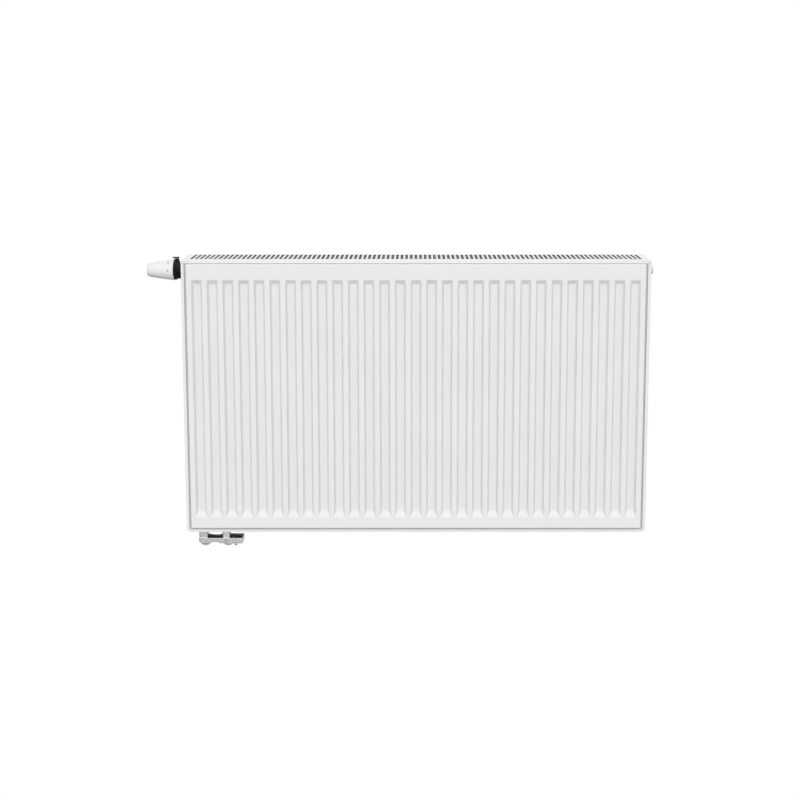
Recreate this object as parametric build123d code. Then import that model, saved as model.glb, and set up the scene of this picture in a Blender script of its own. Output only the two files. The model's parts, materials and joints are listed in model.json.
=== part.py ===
from build123d import *
import os

# Steel convector radiator with a built-in thermostatic valve, millimetres.
# +X runs to the right of a person who faces the radiator, +Y goes into the wall and +Z is up.
# The origin is the centre of the wall bracket hole pattern, on the wall.

# Overall size
LENGTH = 1000.0
HEIGHT = 600.0
DEPTH = 102.0
WALL_GAP = 30.0
TOP_Z = HEIGHT / 2
BOTTOM_Z = -HEIGHT / 2
FRONT_Y = -(WALL_GAP + DEPTH)
REAR_Y = -WALL_GAP
MID_Y = (FRONT_Y + REAR_Y) / 2

# Pressed sheets: a raised field with recesses, a groove round it and a hemmed seam flange outside
SHEET = 1.25
RAISE = 7.0
HEM = 1.2
GROOVE = 4.3
SIDE_SEAM = 10.0
BOTTOM_SEAM = 9.5
TOP_SEAM = 8.5
FLANGE_HALF = LENGTH / 2 + 0.3
FLANGE_TOP_Z = TOP_Z - 3.0
FLANGE_CORNER = 9.0
FIELD_HALF = LENGTH / 2 - SIDE_SEAM
FIELD_TOP_Z = TOP_Z - TOP_SEAM
FIELD_BOTTOM_Z = BOTTOM_Z + BOTTOM_SEAM
FIELD_DRAFT = 1.1
PANEL_DEPTH = 2 * (RAISE + SHEET)

# Recesses between the water channels
RECESS_COUNT = 29
RECESS_PITCH = LENGTH / 30
RECESS_MOUTH = 12.2
RECESS_FLOOR = 7.2
RECESS_MOUTH_TOP = 41.7
RECESS_FLOOR_TOP = 54.6
RECESS_FLOOR_BOTTOM = 50.0
RECESS_MOUTH_BOTTOM = 34.0

# Convector fins
FIN_SHEET = 0.5
FIN_DEPTH = 31.0
FIN_COUNT = 23
FIN_LAND = 14.0
FIN_BOTTOM_Z = -252.0
FIN_TOP_Z = 240.0

# Top grille and side covers
COVER_SHEET = 1.0
GRILLE_SETBACK = 4.6
GRILLE_HALF = LENGTH / 2 + 0.5
COVER_HALF = LENGTH / 2
GRILLE_BEND = 3.5
GRILLE_LIP = 8.0
SLOT_COUNT = 97
SLOT_PITCH = 10.0
SLOT_WIDTH = 6.0
SLOT_FRONT = 16.0
SLOT_REAR = 88.0

# Corner connections
PORT_X = 470.0
PORT_TOP_Z = TOP_Z - 27.9
PORT_BOTTOM_Z = BOTTOM_Z + 27.9
TEE_RADIUS = 17.0
TEE_BORE = 11.0
BOSS_RADIUS = 15.0
BOSS_END_X = 493.0
THREAD_RADIUS = 10.4
THREAD_GAP = 0.1
COVER_PORT_RADIUS = 19.0
COVER_PLUG_RADIUS = 15.5

# Bottom pipe connections and the valve block
RETURN_X = -470.0
SUPPLY_X = -420.0
NIPPLE_RADIUS = 13.2
NIPPLE_BORE = 8.0
NIPPLE_END_Z = BOTTOM_Z + 2.0
SOCKET_Z = BOTTOM_Z + 8.5
SOCKET_RADIUS = 15.5
SOCKET_DEPTH = 2.5
RISER_RADIUS = 7.5
RISER_BORE = 6.5
NUT_FLATS = 30.0
NUT_TOP_Z = BOTTOM_Z + 8.0
NUT_BOTTOM_Z = BOTTOM_Z - 11.0
BLOCK_TOP_Z = BOTTOM_Z - 26.3
BLOCK_BOTTOM_Z = BOTTOM_Z - 38.5
BLOCK_LEFT_X = RETURN_X - 11.0
BLOCK_RIGHT_X = SUPPLY_X + 37.0
BLOCK_HALF_DEPTH = 12.5
OUTLET_Z = BOTTOM_Z - 40.0
OUTLET_RADIUS = 13.2
OUTLET_LENGTH = 15.0
DRAIN_X = SUPPLY_X + 19.5
SPINDLE_RADIUS = 4.5

# Valve insert and thermostatic head, along the X axis through the top left connection
HEAD_TIP_X = -580.3
GRIP_END_X = -522.0
COLLAR_END_X = -500.9
GRIP_RADIUS = 23.0
GRIP_TIP_RADIUS = 14.8
GRIP_WALL = 2.4
LIMIT_PIN_ANGLES = (2.0, 50.0)
LIMIT_PIN_X = -533.1
LIMIT_PIN_RADIUS = 1.7
COLLAR_RADIUS = 21.8
COLLAR_WAIST_RADIUS = 19.4
CLIP_FRONT_X = -525.4
CLIP_REAR_X = -512.4
CLIP_TRAVEL = 2.5
COLLAR_TAIL_RADIUS = 18.5
SEAT_X = -440.0
INSERT_FACE_X = -498.0
HEAD_THREAD_RADIUS = 14.9
VALVE_LIFT = 2.2
PIN_RADIUS = 1.5
PIN_GAP = 0.05

# Air vent, along the X axis through the top right connection
VENT_FACE_X = 513.0
VENT_RADIUS = 9.3

# Wall rails
RAIL_X = 1000.0 / 3
RAIL_WIDTH = 30.0
RAIL_SHEET = 2.0
RAIL_DEPTH = 27.0
RAIL_TOP_Z = 285.0
RAIL_BOTTOM_Z = -306.0
BOLT_SPACING_Z = 400.0
BOLT_HOLE_RADIUS = 4.5
SPRING_WIRE = 0.8


def block(x0, x1, y0, y1, z0, z1):
    """Box between two corners."""
    corner = (min(x0, x1), min(y0, y1), min(z0, z1))
    size = (abs(x1 - x0), abs(y1 - y0), abs(z1 - z0))
    return Pos(*corner) * Box(*size, align=(Align.MIN, Align.MIN, Align.MIN))


def rod_x(radius, x0, x1, y, z):
    """Cylinder along X."""
    return Pos((x0 + x1) / 2, y, z) * Rot(0, 90, 0) * Cylinder(radius, abs(x1 - x0))


def rod_y(radius, y0, y1, x, z):
    """Cylinder along Y."""
    return Pos(x, (y0 + y1) / 2, z) * Rot(90, 0, 0) * Cylinder(radius, abs(y1 - y0))


def rod_z(radius, z0, z1, x, y):
    """Cylinder along Z."""
    return Pos(x, y, (z0 + z1) / 2) * Cylinder(radius, abs(z1 - z0))


def hex_x(flats, x0, x1, y, z):
    """Hexagonal bar along X, given its size across flats."""
    plane = Plane(origin=(x0, y, z), x_dir=(0, 1, 0), z_dir=(1, 0, 0))
    return extrude(plane * RegularPolygon(flats / 2, 6, major_radius=False), x1 - x0)


def hex_z(flats, z0, z1, x, y):
    """Hexagonal bar along Z, given its size across flats."""
    plane = Plane(origin=(x, y, z0), x_dir=(1, 0, 0), z_dir=(0, 0, 1))
    return extrude(plane * RegularPolygon(flats / 2, 6, major_radius=False), z1 - z0)


def turned_x(profile, y, z):
    """Solid of revolution about the X axis through y, z. The profile is a list of (x, radius)."""
    face = make_face(Polyline(*profile, close=True))
    solid = revolve(face, Axis.X, 360)
    return Pos(0, y, z) * solid


def coil(wire, radius, start, length, turns, direction):
    """Compression spring as a helical wire."""
    path = Helix(length / turns, length, radius, center=start, direction=direction)
    section = Plane(origin=path @ 0, z_dir=path % 0) * Circle(wire / 2)
    return sweep(section, path)


def rectangle_face(y, x_half, z0, z1):
    """Rectangle in a plane of constant Y, symmetric about X = 0."""
    corners = [(-x_half, y, z0), (x_half, y, z0), (x_half, y, z1), (-x_half, y, z1)]
    return Face(Wire.make_polygon(corners))


def frustum(y0, rect0, y1, rect1):
    """Straight loft between two rectangles, each given as (x_half, z0, z1)."""
    return loft([rectangle_face(y0, *rect0), rectangle_face(y1, *rect1)])


def recess(grow, y0, y1):
    """One recess of the pressed sheet, grown all round by the given amount."""
    mouth = (
        RECESS_MOUTH + grow,
        BOTTOM_Z + RECESS_MOUTH_BOTTOM - grow,
        TOP_Z - RECESS_MOUTH_TOP + grow,
    )
    floor = (
        RECESS_FLOOR + grow,
        BOTTOM_Z + RECESS_FLOOR_BOTTOM - grow,
        TOP_Z - RECESS_FLOOR_TOP + grow,
    )
    return frustum(y0, mouth, y1, floor)


def recess_row(shape):
    """The same shape at every recess position."""
    first = -(RECESS_COUNT - 1) / 2 * RECESS_PITCH
    return [Pos(first + i * RECESS_PITCH, 0, 0) * shape for i in range(RECESS_COUNT)]


def field(inset, y0, y1):
    """The raised field of the pressed sheet, inset all round by the given amount."""
    face = (
        FIELD_HALF - FIELD_DRAFT - inset,
        FIELD_BOTTOM_Z + FIELD_DRAFT + inset,
        FIELD_TOP_Z - FIELD_DRAFT - inset,
    )
    foot = (FIELD_HALF - inset, FIELD_BOTTOM_Z + inset, FIELD_TOP_Z - inset)
    return frustum(y0, face, y1, foot)


def pressed_sheet():
    """One pressed sheet with its raised face at Y = 0 and its flange and recess floors behind it."""
    back = RAISE + SHEET
    flange_height = FLANGE_TOP_Z - BOTTOM_Z
    flange_middle = (FLANGE_TOP_Z + BOTTOM_Z) / 2
    outline = Plane(origin=(0, back, flange_middle), x_dir=(1, 0, 0), z_dir=(0, -1, 0))
    flange = extrude(outline * RectangleRounded(2 * FLANGE_HALF, flange_height, FLANGE_CORNER), SHEET + HEM)
    flange = flange + block(-FLANGE_HALF, FLANGE_HALF, RAISE - HEM, back, 0, TOP_Z - GRILLE_LIP - 0.3)
    under_grille = GRILLE_HALF - COVER_SHEET - 0.3
    flange = flange + block(-under_grille, under_grille, RAISE - HEM, back, 0, FLANGE_TOP_Z)
    groove_half = FIELD_HALF + GROOVE
    groove_low = FIELD_BOTTOM_Z - GROOVE
    groove_high = FIELD_TOP_Z + GROOVE / 2
    flange = flange - block(-groove_half, groove_half, 0, RAISE, groove_low, groove_high)
    outside = field(0, 0, RAISE) + flange
    outside = outside - recess_row(recess(0, 0, RAISE))
    hollow = field(SHEET, SHEET, RAISE + SHEET)
    hollow = hollow - recess_row(recess(SHEET, SHEET, RAISE + SHEET))
    return outside - hollow


def panel_sheets():
    """The four pressed sheets, each at its own depth. The two inner ones have the water openings."""
    sheet = pressed_sheet()
    openings = [
        rod_y(TEE_BORE, -DEPTH, DEPTH, side * PORT_X, z)
        for side in (-1, 1)
        for z in (PORT_TOP_Z, PORT_BOTTOM_Z)
    ]
    inner = sheet - openings
    turned = mirror(sheet, about=Plane.XZ)
    inner_turned = mirror(inner, about=Plane.XZ)
    return {
        "front_panel_outer": Pos(0, FRONT_Y, 0) * sheet,
        "front_panel_inner": Pos(0, FRONT_Y + PANEL_DEPTH, 0) * inner_turned,
        "rear_panel_outer": Pos(0, REAR_Y, 0) * turned,
        "rear_panel_inner": Pos(0, REAR_Y - PANEL_DEPTH, 0) * inner,
    }


def fins(y_panel, direction):
    """Corrugated convector sheet, welded to a panel at y_panel and standing out by FIN_DEPTH."""
    crown = y_panel + direction * FIN_DEPTH
    web = (RECESS_PITCH - 2 * FIN_LAND) / 2
    start = -FIN_COUNT / 2 * RECESS_PITCH
    upper = []
    for i in range(FIN_COUNT):
        x = start + i * RECESS_PITCH
        upper += [(x, y_panel), (x + FIN_LAND, y_panel), (x + FIN_LAND + web, crown)]
        upper += [(x + 2 * FIN_LAND + web, crown)]
    upper.append((start + FIN_COUNT * RECESS_PITCH, y_panel))
    line = Polyline(*upper)
    outward = Side.LEFT if direction > 0 else Side.RIGHT
    band = offset(line, FIN_SHEET, side=outward, kind=Kind.INTERSECTION)
    face = make_face(band)
    return Pos(0, 0, FIN_BOTTOM_Z) * extrude(face, FIN_TOP_Z - FIN_BOTTOM_Z, dir=(0, 0, 1))


def top_grille():
    """Folded cover with a row of long slots and a lip on all four sides."""
    front = FRONT_Y + GRILLE_SETBACK
    rear = REAR_Y - GRILLE_SETBACK
    shell = block(-GRILLE_HALF, GRILLE_HALF, front, rear, TOP_Z - GRILLE_LIP, TOP_Z)
    bends = shell.edges().group_by(Axis.Z)[-1]
    shell = fillet(bends, GRILLE_BEND)
    inside = block(
        -GRILLE_HALF + COVER_SHEET,
        GRILLE_HALF - COVER_SHEET,
        front + COVER_SHEET,
        rear - COVER_SHEET,
        TOP_Z - GRILLE_LIP,
        TOP_Z - COVER_SHEET,
    )
    inner_bends = inside.edges().group_by(Axis.Z)[-1]
    inside = fillet(inner_bends, GRILLE_BEND - COVER_SHEET)
    slot_y = (FRONT_Y + SLOT_FRONT, FRONT_Y + SLOT_REAR)
    slot = block(-SLOT_WIDTH / 2, SLOT_WIDTH / 2, *slot_y, TOP_Z - GRILLE_LIP, TOP_Z + 1)
    slot = fillet(slot.edges().filter_by(Axis.Z), SLOT_WIDTH / 2 - 0.2)
    first = -(SLOT_COUNT - 1) / 2 * SLOT_PITCH
    slots = [Pos(first + i * SLOT_PITCH, 0, 0) * slot for i in range(SLOT_COUNT)]
    return shell - inside - slots


def side_cover(side):
    """Side cover: a plate with folded front and rear lips behind the seam flanges, open at the ports."""
    outer = side * COVER_HALF
    inner = side * (COVER_HALF - COVER_SHEET)
    lip = side * (FIELD_HALF + 2.0)
    low = BOTTOM_Z + 1.5
    high = TOP_Z - GRILLE_LIP - 0.5
    behind_front = FRONT_Y + RAISE + 2 * SHEET + HEM + 0.3
    before_rear = REAR_Y - RAISE - 2 * SHEET - HEM - 0.3
    plate = block(inner, outer, behind_front, before_rear, low, high)
    front_lip = block(inner, lip, behind_front, behind_front + COVER_SHEET, low, high - 4)
    rear_lip = block(inner, lip, before_rear, before_rear - COVER_SHEET, low, high - 4)
    cover = plate + front_lip + rear_lip
    for z, radius in ((PORT_TOP_Z, COVER_PORT_RADIUS), (PORT_BOTTOM_Z, COVER_PLUG_RADIUS)):
        cover = cover - rod_x(radius, side * 480, side * 520, MID_Y, z)
    opening_y = (MID_Y - COVER_PORT_RADIUS, MID_Y + COVER_PORT_RADIUS)
    return cover - block(inner, outer, *opening_y, PORT_TOP_Z, TOP_Z)


def tee(side, z, extras=()):
    """Corner connection: a tube between the two panels with a threaded boss to the side."""
    front = FRONT_Y + PANEL_DEPTH
    rear = REAR_Y - PANEL_DEPTH
    body = rod_y(TEE_RADIUS, front, rear, side * PORT_X, z)
    body = body + rod_x(BOSS_RADIUS, side * PORT_X, side * BOSS_END_X, MID_Y, z)
    for extra in extras:
        body = body + extra
    body = body - rod_y(TEE_BORE, front, rear, side * PORT_X, z)
    return body - rod_x(THREAD_RADIUS + THREAD_GAP, side * PORT_X, side * (BOSS_END_X + 1), MID_Y, z)


def tee_bottom_left():
    """Bottom left connection, with the return nipple's socket below it."""
    socket = rod_z(SOCKET_RADIUS, SOCKET_Z, PORT_BOTTOM_Z, RETURN_X, MID_Y)
    body = tee(-1, PORT_BOTTOM_Z, [socket])
    body = body - rod_z(NIPPLE_RADIUS, SOCKET_Z - 1, SOCKET_Z + SOCKET_DEPTH, RETURN_X, MID_Y)
    return body - rod_z(NIPPLE_BORE, SOCKET_Z - 1, PORT_BOTTOM_Z, RETURN_X, MID_Y)


def valve_housing():
    """Top left connection: the tee goes on to the right as the valve housing over the riser."""
    z = PORT_TOP_Z
    end = SUPPLY_X + 16.0
    arm = rod_x(14.0, -PORT_X, end, MID_Y, z)
    riser_socket = rod_z(11.0, z - 24.0, z, SUPPLY_X, MID_Y)
    body = tee(-1, z, [arm, riser_socket])
    body = body - rod_x(THREAD_RADIUS + THREAD_GAP, -PORT_X, SEAT_X + 5.0, MID_Y, z)
    body = body - rod_x(RISER_BORE, -PORT_X, end - 3.0, MID_Y, z)
    body = body - rod_z(RISER_RADIUS, z - 25.0, z - 8.0, SUPPLY_X, MID_Y)
    return body - rod_z(RISER_BORE - 0.5, z - 9.0, z, SUPPLY_X, MID_Y)


def nipple(x, z_top):
    """Threaded connection with a collar, open through its middle."""
    body = rod_z(NIPPLE_RADIUS, NIPPLE_END_Z, z_top, x, MID_Y)
    return body - rod_z(NIPPLE_BORE, NIPPLE_END_Z - 1, z_top + 1, x, MID_Y)


def supply_nipple():
    """Supply connection with the riser's socket in its upper end."""
    z_top = BOTTOM_Z + 26.0
    body = rod_z(NIPPLE_RADIUS, NIPPLE_END_Z, z_top, SUPPLY_X, MID_Y)
    body = body - rod_z(RISER_BORE, NIPPLE_END_Z - 1, z_top, SUPPLY_X, MID_Y)
    return body - rod_z(RISER_RADIUS, z_top - 12.0, z_top + 1, SUPPLY_X, MID_Y)


def riser_pipe():
    """Pipe that carries the supply water from the bottom connection up to the valve housing."""
    low = BOTTOM_Z + 14.0
    high = PORT_TOP_Z - 8.0
    pipe = rod_z(RISER_RADIUS, low, high, SUPPLY_X, MID_Y)
    return pipe - rod_z(RISER_BORE, low - 1, high + 1, SUPPLY_X, MID_Y)


def blind_plug(side):
    """Blind plug in a bottom side connection, with a hexagon socket in its face."""
    z = PORT_BOTTOM_Z
    face = side * (BOSS_END_X + 5.0)
    body = rod_x(THREAD_RADIUS, side * (BOSS_END_X - 14), side * (BOSS_END_X + 1), MID_Y, z)
    body = body + rod_x(14.0, side * (BOSS_END_X + 1.5), face, MID_Y, z)
    body = body + rod_x(THREAD_RADIUS - 1, side * BOSS_END_X, side * (BOSS_END_X + 2), MID_Y, z)
    socket = hex_x(10.0, min(face, face - side * 4), max(face, face - side * 4), MID_Y, z)
    return body - socket


def seal_ring(x0, x1, z, outer, inner):
    """Flat ring about a connection's axis along X."""
    return rod_x(outer, x0, x1, MID_Y, z) - rod_x(inner, x0 - 1, x1 + 1, MID_Y, z)


def plug_seals():
    """O rings behind the heads of the two blind plugs."""
    x0 = BOSS_END_X
    x1 = BOSS_END_X + 1.5
    right = seal_ring(x0, x1, PORT_BOTTOM_Z, 13.0, THREAD_RADIUS)
    left = seal_ring(-x1, -x0, PORT_BOTTOM_Z, 13.0, THREAD_RADIUS)
    return Compound([left, right])


def vent_plug():
    """Air vent plug with a head, a groove for the spout and a tapped hole for the bleed screw."""
    z = PORT_TOP_Z
    body = rod_x(THREAD_RADIUS, BOSS_END_X - 14, BOSS_END_X + 1.5, MID_Y, z)
    body = body + hex_x(22.0, BOSS_END_X + 1.5, 501.0, MID_Y, z)
    body = body + rod_x(7.5, 501.0, 507.0, MID_Y, z)
    body = body - rod_x(4.0, 496.0, 508.0, MID_Y, z)
    return body - rod_x(1.5, BOSS_END_X - 15, 497.0, MID_Y, z)


def vent_seal():
    """O ring behind the vent plug's head."""
    return seal_ring(BOSS_END_X, BOSS_END_X + 1.4, PORT_TOP_Z, 13.0, THREAD_RADIUS)


def bleed_screw():
    """Bleed screw with a square end for the key."""
    z = PORT_TOP_Z
    body = rod_x(3.95, 497.5, 508.0, MID_Y, z)
    square = block(508.0, 511.5, MID_Y - 2.5, MID_Y + 2.5, z - 2.5, z + 2.5)
    return body + square


def vent_spout():
    """White cap that turns on the vent plug and points its spout to where the water should go."""
    z = PORT_TOP_Z
    body = rod_x(VENT_RADIUS, 501.3, VENT_FACE_X, MID_Y, z)
    body = fillet(body.edges().group_by(Axis.X)[-1], 3.9)
    body = body + rod_y(2.8, MID_Y + 6.0, MID_Y + VENT_RADIUS + 2.5, 505.5, z)
    body = body - rod_x(7.55, 501.0, 507.3, MID_Y, z)
    body = body - rod_x(5.0, 507.0, VENT_FACE_X + 1, MID_Y, z)
    return body - rod_y(1.4, MID_Y + 4, MID_Y + VENT_RADIUS + 3, 505.5, z)


def valve_insert():
    """Brass insert that screws into the valve housing and carries the head's thread outside it."""
    z = PORT_TOP_Z
    profile = [
        (SEAT_X - 9.0, 6.5),
        (SEAT_X - 9.0, 9.5),
        (-478.0, 9.5),
        (-478.0, THREAD_RADIUS),
        (-494.6, THREAD_RADIUS),
        (-494.6, 13.4),
        (INSERT_FACE_X - 2.0, 13.4),
        (INSERT_FACE_X - 2.0, 11.0),
        (INSERT_FACE_X - 4.0, 11.0),
        (INSERT_FACE_X - 4.0, HEAD_THREAD_RADIUS),
        (-513.0, HEAD_THREAD_RADIUS),
        (-513.0, 5.0),
        (-517.0, 5.0),
        (-517.0, PIN_RADIUS + PIN_GAP),
        (-500.0, PIN_RADIUS + PIN_GAP),
        (-500.0, 6.5),
    ]
    body = turned_x(profile, MID_Y, z)
    for turn in range(4):
        port = rod_z(3.0, 3.0, 14.0, 0, 0)
        body = body - Pos(-463.0, MID_Y, z) * Rot(turn * 90 + 45, 0, 0) * port
    return body


def insert_seal():
    """O ring between the insert's shoulder and the housing."""
    return seal_ring(-494.5, -BOSS_END_X, PORT_TOP_Z, 13.0, THREAD_RADIUS)


def valve_seat():
    """Brass seat ring pressed into the housing between the riser chamber and the panels."""
    z = PORT_TOP_Z
    ring = rod_x(THREAD_RADIUS + THREAD_GAP, SEAT_X, SEAT_X + 5.0, MID_Y, z)
    return ring - rod_x(5.0, SEAT_X - 1, SEAT_X + 6, MID_Y, z)


def preset_ring():
    """Numbered ring that turns on the insert's nose and sets the largest flow."""
    z = PORT_TOP_Z
    ring = rod_x(9.5, -516.5, -513.3, MID_Y, z) - rod_x(5.05, -517.0, -513.0, MID_Y, z)
    for turn in range(12):
        notch = block(-0.5, 0.5, 8.8, 10.0, -0.6, 0.6)
        ring = ring - Pos(-516.2, MID_Y, z) * Rot(turn * 30, 0, 0) * notch
    return ring


def valve_pin():
    """Steel pin with the cone's plate on its inner end."""
    z = PORT_TOP_Z
    body = rod_x(PIN_RADIUS, -520.0, SEAT_X - VALVE_LIFT - 2.5, MID_Y, z)
    body = body + rod_x(5.5, SEAT_X - VALVE_LIFT - 5.0, SEAT_X - VALVE_LIFT - 3.5, MID_Y, z)
    return body + rod_x(4.5, -498.0, -496.5, MID_Y, z)


def valve_cone():
    """Rubber washer that closes on the seat."""
    z = PORT_TOP_Z
    face = SEAT_X - VALVE_LIFT - 0.3
    body = rod_x(6.3, SEAT_X - VALVE_LIFT - 3.5, face, MID_Y, z)
    return body - rod_x(PIN_RADIUS, SEAT_X - VALVE_LIFT - 3.6, SEAT_X - VALVE_LIFT - 2.5, MID_Y, z)


def valve_spring():
    """Return spring between the insert's inner guide and the pin's collar."""
    return coil(SPRING_WIRE, 4.0, (-495.9, MID_Y, PORT_TOP_Z), 24.0, 7, (1, 0, 0))


def spring_guide():
    """Brass guide in the insert that the return spring stands on."""
    z = PORT_TOP_Z
    return rod_x(6.5, -470.5, -468.0, MID_Y, z) - rod_x(PIN_RADIUS + PIN_GAP, -471, -467, MID_Y, z)


def head_collar():
    """Black ringed collar that holds the head on the insert's thread, with a slot for the clip."""
    rim = GRIP_END_X + 6.0
    profile = [
        (GRIP_END_X + 0.3, HEAD_THREAD_RADIUS + 2.3),
        (GRIP_END_X + 0.3, COLLAR_RADIUS - 0.8),
        (GRIP_END_X + 1.1, COLLAR_RADIUS),
        (rim - 2.7, COLLAR_RADIUS),
        (rim - 2.3, COLLAR_RADIUS - 0.8),
        (rim - 1.7, COLLAR_RADIUS - 0.8),
        (rim - 1.3, COLLAR_RADIUS - 0.2),
        (rim - 0.4, COLLAR_RADIUS - 0.6),
        (rim, COLLAR_WAIST_RADIUS),
        (rim + 2.2, COLLAR_WAIST_RADIUS),
        (rim + 2.6, COLLAR_WAIST_RADIUS - 0.9),
        (rim + 3.2, COLLAR_WAIST_RADIUS - 0.9),
        (rim + 3.6, COLLAR_WAIST_RADIUS),
        (COLLAR_END_X - 6.0, COLLAR_WAIST_RADIUS),
        (COLLAR_END_X, COLLAR_TAIL_RADIUS),
        (COLLAR_END_X, HEAD_THREAD_RADIUS + THREAD_GAP),
        (-514.0, HEAD_THREAD_RADIUS + THREAD_GAP),
        (-514.0, HEAD_THREAD_RADIUS + 2.3),
    ]
    body = turned_x(profile, MID_Y, PORT_TOP_Z)
    slot_end = CLIP_REAR_X + CLIP_TRAVEL + 0.3
    slot_floor = PORT_TOP_Z + COLLAR_WAIST_RADIUS - 0.8
    slot = block(CLIP_REAR_X - 8.0, slot_end, MID_Y - 4.2, MID_Y + 4.2, slot_floor, PORT_TOP_Z + 30)
    return body - slot


def lock_clip():
    """Black sliding clip on the collar: a bridge with a tongue that reaches over the grip."""
    base = PORT_TOP_Z + COLLAR_WAIST_RADIUS - 0.7
    roof = PORT_TOP_Z + COLLAR_RADIUS + 6.0
    y0 = MID_Y - 4.0
    y1 = MID_Y + 4.0
    foot_x = CLIP_REAR_X - 7.6
    foot = block(foot_x, CLIP_REAR_X, y0, y1, base, roof - 4.0)
    post = block(CLIP_REAR_X - 2.8, CLIP_REAR_X, y0, y1, base, roof)
    front_post = block(foot_x, foot_x + 1.8, y0, y1, base, roof)
    top = block(CLIP_FRONT_X, CLIP_REAR_X, y0, y1, roof - 2.3, roof)
    return foot + post + front_post + top


def handgrip():
    """White grip that turns on the head: a cone that widens to its base, hollow for the sensor."""
    cone_x = HEAD_TIP_X + 3.5
    outside = [
        (HEAD_TIP_X, 0),
        (HEAD_TIP_X, GRIP_TIP_RADIUS - 3.4),
        (HEAD_TIP_X + 1.0, GRIP_TIP_RADIUS - 1.5),
        (cone_x, GRIP_TIP_RADIUS),
        (GRIP_END_X, GRIP_RADIUS),
        (GRIP_END_X, GRIP_RADIUS - GRIP_WALL),
        (HEAD_TIP_X + 6.0, GRIP_TIP_RADIUS - 2.0),
        (HEAD_TIP_X + GRIP_WALL, GRIP_TIP_RADIUS - 4.0),
        (HEAD_TIP_X + GRIP_WALL, 0),
    ]
    body = turned_x(outside, MID_Y, PORT_TOP_Z)
    for angle in LIMIT_PIN_ANGLES:
        body = body - limit_pin(15.0, 26.0, angle)
    return body


def limit_pin(low, high, angle):
    """Radial pin through the grip's wall, turned about the head's axis from straight ahead."""
    pin = rod_y(LIMIT_PIN_RADIUS, -high, -low, 0, 0)
    return Pos(LIMIT_PIN_X, MID_Y, PORT_TOP_Z) * Rot(-angle, 0, 0) * pin


def limit_pins():
    """The two pins that limit the grip's turn, seated in its wall."""
    return Compound([limit_pin(19.4, 21.3, angle) for angle in LIMIT_PIN_ANGLES])


def head_base():
    """Black carrier inside the grip that the collar clamps, guiding the sensor."""
    profile = [
        (-552.0, 13.4),
        (-552.0, 15.2),
        (-522.5, 15.2),
        (-522.5, 17.1),
        (-514.2, 17.1),
        (-514.2, 13.0),
        (-524.0, 13.0),
        (-524.0, 13.4),
    ]
    return turned_x(profile, MID_Y, PORT_TOP_Z)


def sensor_capsule():
    """Thin can that holds the sensor's liquid and swells with warmth, closed by the push pin's plate."""
    profile = [
        (-576.7, 0),
        (-576.7, 9.2),
        (-574.2, 11.7),
        (-538.0, 12.0),
        (-536.0, 10.5),
        (-536.0, 8.0),
        (-536.8, 8.0),
        (-536.8, 10.0),
        (-538.4, 11.3),
        (-573.9, 11.0),
        (-576.0, 8.9),
        (-576.0, 0),
    ]
    return turned_x(profile, MID_Y, PORT_TOP_Z)


def push_pin():
    """Plastic pin between the sensor and the valve pin."""
    z = PORT_TOP_Z
    return rod_x(9.0, -536.0, -532.5, MID_Y, z) + rod_x(4.0, -532.5, -520.0, MID_Y, z)


def sensor_spring():
    """Spring that takes up the sensor's overtravel."""
    return coil(1.0, 10.6, (-531.4, MID_Y, PORT_TOP_Z), 6.0, 2.5, (1, 0, 0))


def block_outline():
    """The valve block's body without its bores: a lobed bar with two round outlets behind it."""
    y0 = MID_Y - BLOCK_HALF_DEPTH
    y1 = MID_Y + BLOCK_HALF_DEPTH
    lobes = [
        (BLOCK_LEFT_X, BLOCK_TOP_Z),
        (BLOCK_LEFT_X, BLOCK_BOTTOM_Z + 5.0),
        (RETURN_X - 8.0, BLOCK_BOTTOM_Z + 1.8),
        (RETURN_X - 4.0, BLOCK_BOTTOM_Z - 0.5),
        (RETURN_X + 12.0, BLOCK_BOTTOM_Z - 0.5),
        (RETURN_X + 18.0, BLOCK_BOTTOM_Z + 2.5),
        (SUPPLY_X - 18.5, BLOCK_BOTTOM_Z + 2.8),
        (SUPPLY_X - 14.5, BLOCK_BOTTOM_Z),
        (SUPPLY_X - 1.5, BLOCK_BOTTOM_Z),
        (SUPPLY_X + 3.5, BLOCK_BOTTOM_Z - 2.7),
        (SUPPLY_X + 12.0, BLOCK_BOTTOM_Z - 2.7),
        (DRAIN_X - 4.0, BLOCK_BOTTOM_Z + 0.2),
        (BLOCK_RIGHT_X - 3.0, BLOCK_BOTTOM_Z - 1.0),
        (BLOCK_RIGHT_X, BLOCK_BOTTOM_Z + 1.5),
        (BLOCK_RIGHT_X, BLOCK_TOP_Z),
    ]
    front = [(x, y0, z) for x, z in lobes]
    body = extrude(Face(Wire.make_polygon(front)), y1 - y0, dir=(0, 1, 0))
    waist_y = y1 + 19.5
    body = body - rod_z(26.0, BLOCK_BOTTOM_Z - 5, BLOCK_TOP_Z + 1, (RETURN_X + SUPPLY_X) / 2, waist_y)
    for x in (RETURN_X, SUPPLY_X):
        body = body + rod_y(10.5, MID_Y + 5.0, y1, x, OUTLET_Z + 3.0)
        body = body + rod_y(OUTLET_RADIUS, y1, y1 + OUTLET_LENGTH, x, OUTLET_Z)
    return body


def block_boss(x, half_width, z0, z1):
    """Cast boss at the foot of a neck, flush with the block's front face."""
    body = block(x - half_width, x + half_width, MID_Y - BLOCK_HALF_DEPTH + 0.6, MID_Y + 7.0, z0, z1)
    return fillet(body.edges().filter_by(Axis.Z), 3.0)


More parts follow.
